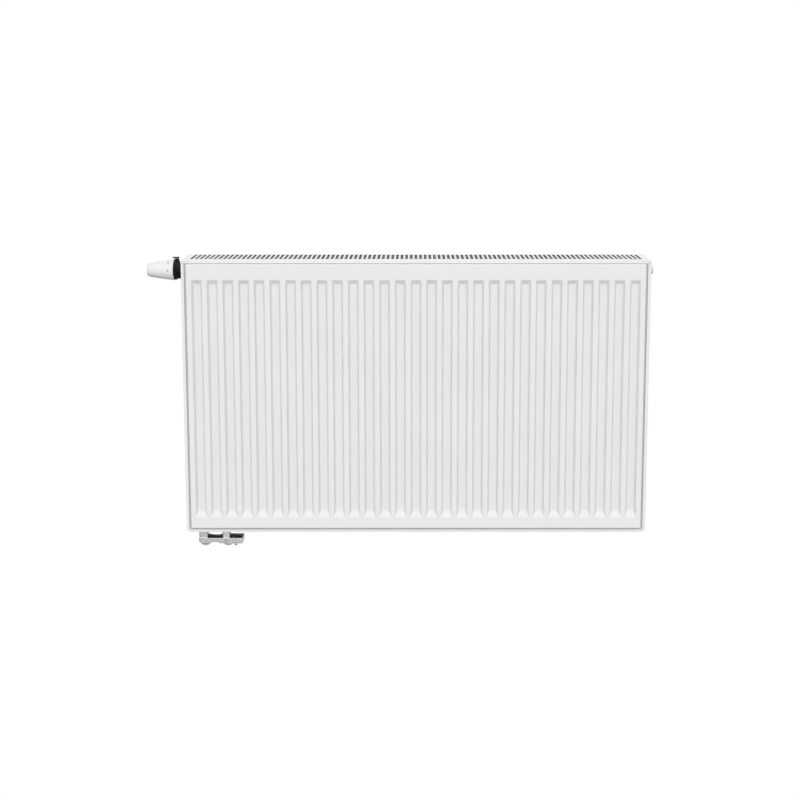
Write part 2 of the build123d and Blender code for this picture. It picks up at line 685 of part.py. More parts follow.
def block_neck(x, radius):
    """Neck that rises from the block into its union nut, with the collar that the nut pulls on."""
    z0 = BLOCK_TOP_Z
    neck = rod_z(radius, z0 - 1.0, NUT_BOTTOM_Z + 8.0, x, MID_Y)
    neck = neck + block_boss(x, radius, z0 - 1.0, NUT_BOTTOM_Z - 1.0)
    return neck + rod_z(12.0, NUT_BOTTOM_Z + 5.0, NUT_BOTTOM_Z + 8.0, x, MID_Y)


def hblock_body():
    """Nickel-plated H valve block: two necks up, two pipe connections back to the wall."""
    body = block_outline()
    body = body + block_neck(RETURN_X, 10.0) + block_neck(SUPPLY_X, 8.5)
    for x in (RETURN_X, SUPPLY_X):
        body = body - rod_z(6.0, BLOCK_TOP_Z - 6.0, NUT_BOTTOM_Z + 9.0, x, MID_Y)
        body = body - rod_y(6.0, MID_Y - 2.0, MID_Y + 40.0, x, OUTLET_Z + 6.0)
        spindle_bore = SPINDLE_RADIUS + THREAD_GAP / 2
        body = body - rod_y(spindle_bore, MID_Y - 20.0, MID_Y - 6.0, x, BLOCK_TOP_Z - 6.0)
    return body - rod_z(2.0, BLOCK_BOTTOM_Z - 5, BLOCK_TOP_Z - 5.0, DRAIN_X, MID_Y - 3)


def union_nut(x, neck):
    """Union nut: a hexagon with a bore for the nipple's thread and a smaller hole for the neck."""
    body = hex_z(NUT_FLATS, NUT_BOTTOM_Z, NUT_TOP_Z, x, MID_Y)
    body = body - rod_z(NIPPLE_RADIUS + THREAD_GAP, NUT_BOTTOM_Z + 4.9, NUT_TOP_Z + 1, x, MID_Y)
    return body - rod_z(neck + 0.3, NUT_BOTTOM_Z - 1, NUT_BOTTOM_Z + 6, x, MID_Y)


def union_seals():
    """Flat seals between the necks' collars and the nipples."""
    z0 = NUT_BOTTOM_Z + 8.0
    ring = rod_z(12.0, z0, NIPPLE_END_Z, 0, MID_Y) - rod_z(7.0, z0 - 1, z0 + 9, 0, MID_Y)
    return Compound([Pos(x, 0, 0) * ring for x in (RETURN_X, SUPPLY_X)])


def shutoff_spindle(x):
    """Shut-off spindle in the block's front, with a screwdriver slot across its face."""
    z = BLOCK_TOP_Z - 6.0
    face = MID_Y - BLOCK_HALF_DEPTH - 0.8
    body = rod_y(SPINDLE_RADIUS, face, MID_Y - 6.5, x, z)
    slot = block(x - 0.6, x + 0.6, face - 1, face + 1.6, z - 3.6, z + 3.6)
    return body - slot


def drain_screw():
    """Small screw under the block that drains it."""
    y = MID_Y - 3
    body = rod_z(1.95, BLOCK_TOP_Z - 5.2, BLOCK_BOTTOM_Z, DRAIN_X, y)
    return body + hex_z(6.0, BLOCK_BOTTOM_Z - 7.5, BLOCK_BOTTOM_Z - 1.0, DRAIN_X, y)


def block_cover():
    """Black moulded plate on the block's top, open round both necks."""
    z0 = BLOCK_TOP_Z
    y0 = MID_Y - BLOCK_HALF_DEPTH + 0.5
    y1 = MID_Y + BLOCK_HALF_DEPTH - 0.5
    plate = block(RETURN_X + 9.0, BLOCK_RIGHT_X - 0.5, y0, y1, z0, z0 + 1.5)
    waist = rod_z(26.5, z0 - 1, z0 + 3, (RETURN_X + SUPPLY_X) / 2, MID_Y + BLOCK_HALF_DEPTH + 19.5)
    plate = plate - waist
    for x, half_width in ((RETURN_X, 10.3), (SUPPLY_X, 8.8)):
        plate = plate - block(x - half_width, x + half_width, y0 - 1, MID_Y + 7.3, z0 - 1, z0 + 3)
        plate = plate - rod_z(half_width, z0 - 1, z0 + 3, x, MID_Y)
    return plate


def wall_rail(side):
    """Folded rail on the wall: a channel with bolt holes, a foot under the rear panel and latch guides."""
    x = side * RAIL_X
    half = RAIL_WIDTH / 2
    back = block(x - half, x + half, -RAIL_SHEET, 0, RAIL_BOTTOM_Z, RAIL_TOP_Z)
    left = block(x - half, x - half + RAIL_SHEET, -RAIL_DEPTH, 0, RAIL_BOTTOM_Z, RAIL_TOP_Z - 20)
    right = block(x + half - RAIL_SHEET, x + half, -RAIL_DEPTH, 0, RAIL_BOTTOM_Z, RAIL_TOP_Z - 20)
    foot = block(x - half, x + half, -46.0, 0, RAIL_BOTTOM_Z - RAIL_SHEET, RAIL_BOTTOM_Z)
    spring_shelf = block(x - half, x + half, -22.0, 0, 180.0, 182.0)
    guide = block(x - half, x + half, -22.0, -RAIL_SHEET, 248.0, 250.0)
    guide = guide - block(x - 11.0, x + 11.0, -13.2, -7.8, 240, 260)
    rail = back + left + right + foot + spring_shelf + guide
    for z in (-BOLT_SPACING_Z / 2, BOLT_SPACING_Z / 2):
        rail = rail - rod_y(BOLT_HOLE_RADIUS, -5, 5, x, z)
    return rail


def rail_support(side):
    """Plastic support on the rail's foot that the rear panel's seam stands in."""
    x = side * RAIL_X
    body = block(x - 14, x + 14, -45.0, -32.5, RAIL_BOTTOM_Z, FIELD_BOTTOM_Z - 1.0)
    slot_front = REAR_Y - RAISE - 2 * SHEET - HEM - 0.3
    slot_rear = REAR_Y - RAISE + HEM + 0.3
    return body - block(x - 15, x + 15, slot_front, slot_rear, BOTTOM_Z, TOP_Z)


def wall_latch(side):
    """Sprung bolt whose hook holds the top shoulder of the rear panel."""
    x = side * RAIL_X
    shoulder = FIELD_TOP_Z
    bar = block(x - 10.8, x + 10.8, -13.0, -8.0, 222.0, shoulder - 2.0)
    flag = block(x - 10.8, x + 10.8, -26.0, -8.0, 222.0, 224.0)
    neck = block(x - 9.0, x + 9.0, -13.0, -8.0, shoulder - 2.0, shoulder + 2.5)
    hook = block(x - 9.0, x + 9.0, -34.5, -8.0, shoulder + 0.4, shoulder + 2.5)
    peg = rod_z(3.0, 217.0, 222.0, x, -10.5)
    return bar + flag + neck + hook + peg


def latch_spring(side):
    """Tension spring between the rail's shelf and the latch."""
    x = side * RAIL_X
    return coil(1.2, 4.6, (x, -10.5, 182.7), 36.0, 9, (0, 0, 1))


def all_parts():
    """Every node's name and solid."""
    parts = panel_sheets()
    parts["front_fins"] = fins(FRONT_Y + PANEL_DEPTH, 1)
    parts["rear_fins"] = fins(REAR_Y - PANEL_DEPTH, -1)
    parts["top_grille"] = top_grille()
    parts["side_cover_left"] = side_cover(-1)
    parts["side_cover_right"] = side_cover(1)
    parts["valve_housing"] = valve_housing()
    parts["tee_top_right"] = tee(1, PORT_TOP_Z)
    parts["tee_bottom_left"] = tee_bottom_left()
    parts["tee_bottom_right"] = tee(1, PORT_BOTTOM_Z)
    parts["riser_pipe"] = riser_pipe()
    parts["supply_nipple"] = supply_nipple()
    parts["return_nipple"] = nipple(RETURN_X, SOCKET_Z + SOCKET_DEPTH)
    parts["blind_plug_left"] = blind_plug(-1)
    parts["blind_plug_right"] = blind_plug(1)
    parts["plug_seals"] = plug_seals()
    parts["vent_plug"] = vent_plug()
    parts["vent_seal"] = vent_seal()
    parts["bleed_screw"] = bleed_screw()
    parts["vent_spout"] = vent_spout()
    parts["valve_insert"] = valve_insert()
    parts["insert_seal"] = insert_seal()
    parts["valve_seat"] = valve_seat()
    parts["preset_ring"] = preset_ring()
    parts["valve_pin"] = valve_pin()
    parts["valve_cone"] = valve_cone()
    parts["spring_guide"] = spring_guide()
    parts["valve_spring"] = valve_spring()
    parts["head_collar"] = head_collar()
    parts["head_base"] = head_base()
    parts["lock_clip"] = lock_clip()
    parts["handgrip"] = handgrip()
    parts["limit_pins"] = limit_pins()
    parts["sensor_capsule"] = sensor_capsule()
    parts["push_pin"] = push_pin()
    parts["sensor_spring"] = sensor_spring()
    parts["hblock_body"] = hblock_body()
    parts["union_nut_return"] = union_nut(RETURN_X, 10.0)
    parts["union_nut_supply"] = union_nut(SUPPLY_X, 8.5)
    parts["union_seals"] = union_seals()
    parts["shutoff_spindle_return"] = shutoff_spindle(RETURN_X)
    parts["shutoff_spindle_supply"] = shutoff_spindle(SUPPLY_X)
    parts["drain_screw"] = drain_screw()
    parts["block_cover"] = block_cover()
    for name, side in (("left", -1), ("right", 1)):
        parts["wall_rail_" + name] = wall_rail(side)
        parts["rail_support_" + name] = rail_support(side)
        parts["wall_latch_" + name] = wall_latch(side)
        parts["latch_spring_" + name] = latch_spring(side)
    return parts


os.makedirs("parts", exist_ok=True)
for node, solid in all_parts().items():
    export_step(solid, "parts/" + node + ".step")
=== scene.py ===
"""Wall-hung steel convector radiator with a thermostatic head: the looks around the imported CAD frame.

Everything is in metres in the CAD's frame: +X to the right, +Y into the wall, +Z up.
"""
import json
import math

import bmesh
import bpy
import numpy as np
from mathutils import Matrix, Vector


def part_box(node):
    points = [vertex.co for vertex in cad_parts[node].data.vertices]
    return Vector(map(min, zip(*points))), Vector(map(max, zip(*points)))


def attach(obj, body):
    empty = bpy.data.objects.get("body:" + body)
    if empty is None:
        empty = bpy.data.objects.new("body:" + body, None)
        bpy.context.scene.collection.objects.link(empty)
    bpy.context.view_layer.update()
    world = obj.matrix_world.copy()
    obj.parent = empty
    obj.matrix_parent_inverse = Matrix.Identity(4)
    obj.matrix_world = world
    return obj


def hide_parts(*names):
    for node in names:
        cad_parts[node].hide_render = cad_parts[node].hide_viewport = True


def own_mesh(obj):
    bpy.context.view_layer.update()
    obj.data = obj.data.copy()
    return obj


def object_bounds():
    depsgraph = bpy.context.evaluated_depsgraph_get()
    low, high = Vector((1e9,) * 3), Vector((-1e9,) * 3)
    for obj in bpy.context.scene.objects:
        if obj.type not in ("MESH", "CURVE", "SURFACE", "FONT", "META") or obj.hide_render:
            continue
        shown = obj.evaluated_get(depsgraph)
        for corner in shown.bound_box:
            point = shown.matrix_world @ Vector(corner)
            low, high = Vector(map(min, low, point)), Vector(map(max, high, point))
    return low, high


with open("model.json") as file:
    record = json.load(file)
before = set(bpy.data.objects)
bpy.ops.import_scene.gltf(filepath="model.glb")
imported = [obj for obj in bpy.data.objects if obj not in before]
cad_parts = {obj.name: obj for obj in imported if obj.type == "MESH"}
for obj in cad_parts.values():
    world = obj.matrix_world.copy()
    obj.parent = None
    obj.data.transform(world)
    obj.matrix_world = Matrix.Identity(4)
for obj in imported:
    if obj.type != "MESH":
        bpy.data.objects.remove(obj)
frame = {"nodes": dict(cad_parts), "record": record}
nodes = frame["nodes"]
bodies = frame["record"]["behaviour"]["bodies"]
slots = {part["node"]: part["material_slot"] for part in frame["record"]["subparts"]}
cad_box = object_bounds()
MM = 0.001
WELD = 1e-6


# ---------------------------------------------------------------- materials


WHITE = (1.0, 1.0, 1.0, 1.0)
# Painted shade: the grey that the white coat is darkened towards in the panel's groove and recesses
SEAM_SHADE_GREY = (0.52, 0.52, 0.515)


class Graph:
    """A material's node tree, with short calls for the nodes that the materials below share."""

    MIX_FACTOR = 0
    MIX_FIRST = 6
    MIX_SECOND = 7
    MIX_COLOUR = 2

    def __init__(self, name):
        self.material = bpy.data.materials.new(name)
        self.material.use_nodes = True
        self.tree = self.material.node_tree
        self.tree.nodes.clear()
        self.output = self.tree.nodes.new("ShaderNodeOutputMaterial")
        self.shader = self.tree.nodes.new("ShaderNodeBsdfPrincipled")
        self.tree.links.new(self.shader.outputs["BSDF"], self.output.inputs["Surface"])
        self.place = self.tree.nodes.new("ShaderNodeTexCoord").outputs["Object"]

    def link(self, source, target):
        """Joins an output socket to an input socket."""
        self.tree.links.new(source, target)

    def noise(self, scale, detail=2.0, roughness=0.5, stretch=(1, 1, 1)):
        """Noise in object space; scale is in features per metre."""
        mapping = self.tree.nodes.new("ShaderNodeMapping")
        mapping.inputs["Scale"].default_value = stretch
        self.link(self.place, mapping.inputs["Vector"])
        node = self.tree.nodes.new("ShaderNodeTexNoise")
        node.inputs["Scale"].default_value = scale
        node.inputs["Detail"].default_value = detail
        node.inputs["Roughness"].default_value = roughness
        self.link(mapping.outputs["Vector"], node.inputs["Vector"])
        return node.outputs["Fac"]

    def ramp(self, value, low, high, out_low=0.0, out_high=1.0):
        """Maps low..high of a value to out_low..out_high, clamped."""
        node = self.tree.nodes.new("ShaderNodeMapRange")
        node.inputs["From Min"].default_value = low
        node.inputs["From Max"].default_value = high
        node.inputs["To Min"].default_value = out_low
        node.inputs["To Max"].default_value = out_high
        self.link(value, node.inputs["Value"])
        return node.outputs["Result"]

    def mix(self, fac, first, second):
        """Colour between first and second."""
        node = self.tree.nodes.new("ShaderNodeMix")
        node.data_type = "RGBA"
        self.link(fac, node.inputs[self.MIX_FACTOR])
        for socket, colour in ((self.MIX_FIRST, first), (self.MIX_SECOND, second)):
            if isinstance(colour, tuple):
                node.inputs[socket].default_value = (*colour, 1.0)
            else:
                self.link(colour, node.inputs[socket])
        return node.outputs[self.MIX_COLOUR]

    def edges(self, low=0.505, high=0.56):
        """0 on flat surfaces, rising to 1 on sharp outer edges."""
        geometry = self.tree.nodes.new("ShaderNodeNewGeometry")
        return self.ramp(geometry.outputs["Pointiness"], low, high)

    def bump(self, height, strength, distance):
        """Relief in the surface, from a height between 0 and 1."""
        node = self.tree.nodes.new("ShaderNodeBump")
        node.inputs["Strength"].default_value = strength
        node.inputs["Distance"].default_value = distance
        self.link(height, node.inputs["Height"])
        self.link(node.outputs["Normal"], self.shader.inputs["Normal"])

    def set(self, **values):
        """Sets plain inputs of the shader, with _ for each space in an input's name."""
        for name, value in values.items():
            self.shader.inputs[name.replace("_", " ")].default_value = value


def painted(name, light, shade, roughness=(0.30, 0.42), peel=0.12):
    """Powder-coated steel: orange peel in the surface, faint cloudiness in the colour, thinner on edges.
    The seam attribute paints shade into the coat's colour: darker in the grooves and recesses, where shade
    falls."""
    g = Graph(name)
    cloud = g.ramp(g.noise(scale=9.0, detail=3.0), low=0.35, high=0.65)
    thin = tuple(c * 0.97 for c in light)
    colour = g.mix(g.edges(low=0.52, high=0.60), g.mix(cloud, light, shade), thin)
    # Painted shade in the groove round the raised field and in the recesses, read from a vertex attribute
    painted_shade = g.tree.nodes.new("ShaderNodeAttribute")
    painted_shade.attribute_name = "painted_seam_shade"
    g.link(g.mix(painted_shade.outputs["Fac"], colour, SEAM_SHADE_GREY), g.shader.inputs["Base Color"])
    sheen = g.ramp(g.noise(scale=60.0, detail=4.0), 0.3, 0.7, *roughness)
    g.link(sheen, g.shader.inputs["Roughness"])
    g.bump(g.noise(scale=620.0, detail=2.0, roughness=0.45), strength=peel, distance=0.2 * MM)
    g.set(IOR=1.5)
    return g.material


def moulded(name, light, shade, roughness, grain=0.25, specular=0.5):
    """Injection-moulded plastic: a fine spark-eroded grain and slightly uneven gloss."""
    g = Graph(name)
    flow = g.ramp(g.noise(scale=25.0, detail=3.0), low=0.35, high=0.65)
    g.link(g.mix(flow, light, shade), g.shader.inputs["Base Color"])
    sheen = g.ramp(g.noise(scale=180.0, detail=3.0), 0.3, 0.7, roughness - 0.06, roughness + 0.06)
    g.link(sheen, g.shader.inputs["Roughness"])
    g.bump(g.noise(scale=2600.0, detail=2.0, roughness=0.6), strength=grain, distance=0.06 * MM)
    g.set(IOR=1.49, Specular_IOR_Level=specular)
    return g.material


def plated(name, light, shade, roughness, peel=0.08):
    """Nickel plate over a hot-stamped body: soft waviness, dulled patches, brighter worn edges."""
    g = Graph(name)
    patches = g.ramp(g.noise(scale=70.0, detail=4.0, roughness=0.6), low=0.35, high=0.7)
    worn = tuple(min(1.0, c * 1.08) for c in light)
    colour = g.mix(g.edges(), g.mix(patches, light, shade), worn)
    g.link(colour, g.shader.inputs["Base Color"])
    sheen = g.ramp(g.noise(scale=240.0, detail=3.0), 0.3, 0.7, *roughness)
    g.link(sheen, g.shader.inputs["Roughness"])
    g.bump(g.noise(scale=420.0, detail=3.0, roughness=0.55), strength=peel, distance=0.2 * MM)
    g.set(Metallic=1.0)
    return g.material


def turned_metal(name, light, shade, roughness, stretch=(40.0, 1.0, 1.0)):
    """Turned or drawn metal, with fine tool marks across the stretch direction."""
    g = Graph(name)
    marks = g.noise(scale=60.0, detail=3.0, roughness=0.6, stretch=stretch)
    g.link(g.mix(g.ramp(marks, low=0.3, high=0.7), light, shade), g.shader.inputs["Base Color"])
    g.link(g.ramp(marks, 0.3, 0.7, *roughness), g.shader.inputs["Roughness"])
    g.bump(marks, strength=0.15, distance=0.1 * MM)
    g.set(Metallic=1.0)
    return g.material


def rubber(name, dark, bloom, roughness):
    """Black seal rubber with a dusty bloom."""
    g = Graph(name)
    dusty = g.ramp(g.noise(scale=300.0, detail=4.0), low=0.4, high=0.7)
    g.link(g.mix(dusty, dark, bloom), g.shader.inputs["Base Color"])
    sheen = g.ramp(g.noise(scale=500.0, detail=2.0), 0.3, 0.7, *roughness)
    g.link(sheen, g.shader.inputs["Roughness"])
    g.bump(g.noise(scale=900.0, detail=3.0), strength=0.2, distance=0.1 * MM)
    return g.material


# Each material: base colour, second colour of its mottling, and roughness or its range
materials = {
    "white_steel": painted("white_powder_coat", (0.875, 0.875, 0.872), (0.862, 0.862, 0.858)),
    "fin_steel": painted(
        "grey_primer_coat", (0.52, 0.52, 0.515), (0.46, 0.46, 0.455), (0.4, 0.55), peel=0.2
    ),
    "tee_steel": painted(
        "white_pipe_coat", (0.84, 0.84, 0.835), (0.80, 0.80, 0.79), (0.33, 0.5), peel=0.3
    ),
    "white_plastic": moulded(
        "white_moulding", (0.88, 0.88, 0.875), (0.865, 0.865, 0.86), 0.36, grain=0.12
    ),
    "grey_plastic": moulded("grey_moulding", (0.30, 0.31, 0.32), (0.27, 0.28, 0.29), 0.45),
    "black_plastic": moulded(
        "black_moulding", (0.006, 0.006, 0.0065), (0.012, 0.012, 0.0125), 0.42, grain=0.35, specular=0.22
    ),
    "clear_plastic": moulded("natural_moulding", (0.62, 0.61, 0.58), (0.56, 0.55, 0.52), 0.4),
    "nickel": plated("nickel_plate", (0.90, 0.90, 0.89), (0.74, 0.74, 0.73), (0.20, 0.32)),
    "brass": turned_metal("turned_brass", (0.78, 0.60, 0.30), (0.68, 0.50, 0.23), (0.2, 0.34)),
    "spring_steel": turned_metal("spring_wire", (0.50, 0.50, 0.51), (0.38, 0.38, 0.39), (0.25, 0.4)),
    "steel": turned_metal("zinc_plated_steel", (0.62, 0.63, 0.64), (0.52, 0.53, 0.55), (0.25, 0.4)),
    "rubber": rubber("seal_rubber", (0.018, 0.018, 0.018), (0.045, 0.045, 0.044), (0.55, 0.75)),
}
for node_name, node in nodes.items():
    node.data.materials.clear()
    node.data.materials.append(materials[slots[node_name]])


# ---------------------------------------------------------------- mesh helpers

# Degrees: faces that meet at less count as one flat face, then the shading angles of each kind of piece
FLAT_ANGLE = 0.6
SOFTENED_ANGLE = 32.0
FORGED_ANGLE = 60.0
TURNED_ANGLE = 40.0
PANEL_ANGLE = 50.0
NEAR_HALF = 0.49


def body_of_node(node_name):
    """The name of the moving body that a CAD node belongs to."""
    return next(body for body, members in bodies.items() if node_name in members)


def add_mesh(name, verts, faces):
    """A new mesh object in the scene."""
    mesh = bpy.data.meshes.new(name)
    mesh.from_pydata(verts, [], faces)
    mesh.validate()
    piece = bpy.data.objects.new(name, mesh)
    bpy.context.scene.collection.objects.link(piece)
    return piece


def smooth(piece, angle):
    """Smooth shading with sharp edges only where faces meet at more than angle."""
    mesh = piece.data
    bm = bmesh.new()
    bm.from_mesh(mesh)
    bmesh.ops.recalc_face_normals(bm, faces=bm.faces)
    for face in bm.faces:
        face.smooth = True
    for edge in bm.edges:
        edge.smooth = len(edge.link_faces) == 2 and edge.calc_face_angle(0.0) < math.radians(angle)
    bm.to_mesh(mesh)
    bm.free()


def shape_of(node_name):
    """A free copy of a CAD node, to be worked on and to stand for it."""
    piece = bpy.data.objects.new(node_name + "_shape", nodes[node_name].data.copy())
    bpy.context.scene.collection.objects.link(piece)
    return piece


def apply_modifiers(piece):
    """Gives the piece the mesh that its modifiers make of it."""
    bpy.context.view_layer.update()
    graph = bpy.context.evaluated_depsgraph_get()
    mesh = bpy.data.meshes.new_from_object(piece.evaluated_get(graph))
    old = piece.data
    piece.modifiers.clear()
    piece.data = mesh
    bpy.data.meshes.remove(old)


def stand_for(piece, node_name):
    """The piece takes over the node's material slot, body and place."""
    slot = slots[node_name]
    piece.data.materials.clear()
    piece.data.materials.append(materials[slot])
    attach(piece, body_of_node(node_name))
    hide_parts(node_name)


def softened(node_name, radius, segments=2, angle=30.0):
    """A copy of a CAD node with its hard edges rounded off.
    Flat faces are merged first, so that only real edges are left to round."""
    piece = shape_of(node_name)
    bm = bmesh.new()
    bm.from_mesh(piece.data)
    bmesh.ops.remove_doubles(bm, verts=bm.verts, dist=WELD)
    bmesh.ops.dissolve_limit(bm, angle_limit=math.radians(FLAT_ANGLE), verts=bm.verts, edges=bm.edges)
    bm.to_mesh(piece.data)
    bm.free()
    bevel = piece.modifiers.new("edges", "BEVEL")
    bevel.width = radius
    bevel.segments = segments
    bevel.limit_method = "ANGLE"
    bevel.angle_limit = math.radians(angle)
    bevel.harden_normals = False
    bevel.use_clamp_overlap = True
    apply_modifiers(piece)
    smooth(piece, SOFTENED_ANGLE)
    stand_for(piece, node_name)
    return piece


def forged(node_name, voxel, rounds):
    """A copy of a CAD node with its edges melted round, like a hot-stamped body."""
    piece = shape_of(node_name)
    remesh = piece.modifiers.new("skin", "REMESH")
    remesh.mode = "VOXEL"
    remesh.voxel_size = voxel
    remesh.adaptivity = 0.0
    relax = piece.modifiers.new("relax", "SMOOTH")
    relax.factor = 0.5
    relax.iterations = rounds
    apply_modifiers(piece)
    smooth(piece, FORGED_ANGLE)
    stand_for(piece, node_name)
    return piece


def fillet_profile(points, steps):
    """Points (a, b, radius): the outline with each corner rounded to about its radius, or to as much as
    nearly half of the shorter side beside it allows."""
    out = []
    for i, (a, b, radius) in enumerate(points):
        here = Vector((a, b))
        if radius <= 0 or i in (0, len(points) - 1):
            out.append(here)
            continue
        before = Vector(points[i - 1][:2]) - here
        after = Vector(points[i + 1][:2]) - here
        half = before.angle(after) / 2
        reach = min(radius / math.tan(half), before.length * NEAR_HALF, after.length * NEAR_HALF)
        start = here + before.normalized() * reach
        end = here + after.normalized() * reach
        for k in range(steps + 1):
            t = k / steps
            out.append(start * (1 - t) ** 2 + here * 2 * t * (1 - t) + end * t * t)
    return out


def turned(name, profile, centre, segments):
    """Closed surface of revolution about an X axis through centre (y, z); the profile is (x, r) in mm."""
    verts = []
    faces = []
    rings = []
    for x, r in profile:
        if r < WELD:
            rings.append([len(verts)])
            verts.append((x * MM, centre[0], centre[1]))
            continue
        ring = []
        for k in range(segments):
            angle = 2 * math.pi * k / segments
            ring.append(len(verts))
            y = centre[0] + r * MM * math.cos(angle)
            z = centre[1] + r * MM * math.sin(angle)
            verts.append((x * MM, y, z))
        rings.append(ring)
    for first, second in zip(rings, rings[1:] + rings[:1]):
        if len(first) == 1 and len(second) == 1:
            continue
        for k in range(segments):
            nxt = (k + 1) % segments
            if len(first) == 1:
                faces.append((first[0], second[k], second[nxt]))
            elif len(second) == 1:
                faces.append((first[k], second[0], first[nxt]))
            else:
                faces.append((first[k], second[k], second[nxt], first[nxt]))
    return add_mesh(name, verts, faces)


# ---------------------------------------------------------------- pressed panels

# All in millimetres. Depths are measured from the raised field's face towards the wall
RECESS_COUNT = 29
PITCH = 100.0 / 3
FIRST_RECESS = -(RECESS_COUNT - 1) / 2 * PITCH
RAISE = 7.0
FLOOR_HALF = 7.0
MOUTH_HALF = 12.0
FLARE = 2.6

panel_low, panel_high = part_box("front_panel_outer")
FRONT_Y = panel_low.y / MM
REAR_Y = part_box("rear_panel_outer")[1].y / MM
MID_Y = (FRONT_Y + REAR_Y) / 2
TOP_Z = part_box("top_grille")[1].z / MM
BOTTOM_Z = panel_low.z / MM
FIELD_HALF = 490.0
FIELD_TOP = TOP_Z - 8.5
FIELD_BOTTOM = BOTTOM_Z + 9.5
FLANGE_SIDE = panel_high.x / MM - FIELD_HALF
FLANGE_TOP = panel_high.z / MM - FIELD_TOP
FLANGE_BOTTOM = FIELD_BOTTOM - BOTTOM_Z
FLANGE_CORNER = 9.0
FLANGE_TOP_CORNER = 3.0
HEM = 1.2
MOUTH_TOP = TOP_Z - 41.7
FLOOR_TOP = TOP_Z - 54.0
FLOOR_BOTTOM = BOTTOM_Z + 50.5
MOUTH_BOTTOM = BOTTOM_Z + 33.5
# The grid of the raised field ends this far inside the field's foot, where the bent edge takes over
GRID_INSET = 5.2
CORNER_STEPS = 8
# Field corners follow a superellipse of this power, which keeps them nearly square
CORNER_POWER = 7
# Along the top, the edge is drawn out from this distance by this factor, for a softer bend
TOP_BEND = -0.7
TOP_SPREAD = 1.3
TOP_BEND_DEPTH = 2.0
SHELL = 0.9
# A pressed slope is rounded over this share of its width at each end, and blended where two slopes meet
SLOPE_BEND = 0.32
SLOPE_BLEND = 0.35
# Painted shade darkens the recesses this much, and the groove fully, from SEAM_START deep, less so along
# the top
RECESS_PAINTED_SHADE = 0.17
TOP_SEAM_PAINTED_SHADE = 0.3
SEAM_REACH = 4.4
SEAM_START = 5.9
SEAM_FADE = 1.6
FIELD_BEND = 4.0
RECESS_MARGIN = 6.0


def eased(t):
    """Pressed slope from 0 to 1: straight in the middle, with a radius at each end."""
    t = np.clip(t, 0.0, 1.0)
    scale = 1.0 / (1.0 - SLOPE_BEND)
    low = t * t / (2 * SLOPE_BEND) * scale
    high = 1.0 - (1.0 - t) ** 2 / (2 * SLOPE_BEND) * scale
    middle = (t - SLOPE_BEND / 2) * scale
    return np.where(t < SLOPE_BEND, low, np.where(t > 1.0 - SLOPE_BEND, high, middle))


def soft_min(a, b, width):
    """Smooth minimum of two numbers."""
    h = np.clip(0.5 + 0.5 * (b - a) / width, 0.0, 1.0)
    return b * (1 - h) + a * h - width * h * (1 - h)


def flare_at(z):
    """How far the recess's mouth spreads near its lower end."""
    t = np.clip((FLOOR_BOTTOM - z) / (FLOOR_BOTTOM - MOUTH_BOTTOM), 0.0, 1.0)
    return FLARE * t * t * (3 - 2 * t)


def recess_depth(u, z):
    """Depth of the recess at distance u from its centre line and height z."""
    mouth = MOUTH_HALF + flare_at(z)
    side = (mouth - np.abs(u)) / (mouth - FLOOR_HALF)
    top = (MOUTH_TOP - z) / (MOUTH_TOP - FLOOR_TOP)
    bottom = (z - MOUTH_BOTTOM) / (FLOOR_BOTTOM - MOUTH_BOTTOM)
    t = soft_min(soft_min(side, top, SLOPE_BLEND), bottom, SLOPE_BLEND)
    return RAISE * eased(t)


def panel_columns():
    """For each grid column: its recess's centre line, its side (-1 or 1), its zone and its place in that.
    In zone "floor" the place runs from the centre line (0) to the floor's edge (1), and in zone "slope"
    from there (0) to the recess's mouth (1) and a little beyond."""
    floor = (0.5, 0.85)
    slope = (0.0, 0.08, 0.17, 0.28, 0.4, 0.52, 0.64, 0.76, 0.88, 1.0, 1.12)
    half = [("floor", t) for t in floor] + [("slope", t) for t in slope]
    columns = []
    for i in range(RECESS_COUNT):
        centre = FIRST_RECESS + i * PITCH
        columns += [(centre, -1, zone, t) for zone, t in reversed(half)]
        columns.append((centre, 1, "floor", 0.0))
        columns += [(centre, 1, zone, t) for zone, t in half]
        if i < RECESS_COUNT - 1:
            columns.append((centre + PITCH / 2, 1, "floor", 0.0))
    return columns


def panel_rows():
    """Heights of the grid's rows, close together where the recesses begin and end."""
    straight = 60.0
    rows = [FIELD_TOP - GRID_INSET]
    rows += list(np.linspace(MOUTH_TOP + 2.4, FLOOR_TOP - 4.0, num=23))
    rows += list(np.linspace(FLOOR_TOP - straight, FLOOR_BOTTOM + straight, num=5))
    rows += list(np.linspace(FLOOR_BOTTOM + 7.0, MOUTH_BOTTOM - 3.0, num=21))
    rows.append(FIELD_BOTTOM + GRID_INSET)
    return rows


def column_x(column, z):
    """Where a grid column stands at height z: the slopes spread with the recess's flaring end."""
    centre, side, zone, t = column
    if zone == "floor":
        return centre + side * FLOOR_HALF * t
    return centre + side * (FLOOR_HALF + (MOUTH_HALF + flare_at(z) - FLOOR_HALF) * t)


def field_depth(x, z):
    """Depth of the nearest recess at a point of the raised field."""
    index = np.clip(np.round((x - FIRST_RECESS) / PITCH), 0, RECESS_COUNT - 1)
    return recess_depth(x - (FIRST_RECESS + index * PITCH), z)


# The panel's edge as (outward, depth): EDGE is measured from the field's foot, over the bend, down the
# groove and up to the flange, and RIM from the flange's outer edge, round its hem
EDGE = [(-2.4, 0.0), (-1.9, 0.03), (-1.5, 0.14), (-1.2, 0.36), (-1.0, 0.70), (-0.85, 1.2), (-0.75, 1.9)]
EDGE += [(-0.55, 3.4), (-0.35, 4.9), (-0.12, 6.3), (0.05, 7.2), (0.35, 7.9), (0.9, 8.15), (2.0, 8.2)]
EDGE += [(3.0, 8.15), (3.5, 7.9), (3.8, 7.3), (4.0, 6.5), (4.25, 6.05), (4.7, RAISE - HEM)]
RIM = [(-0.9, RAISE - HEM), (-0.35, RAISE - HEM + 0.12), (0.0, RAISE - HEM + 0.6), (0.0, RAISE + 0.9)]


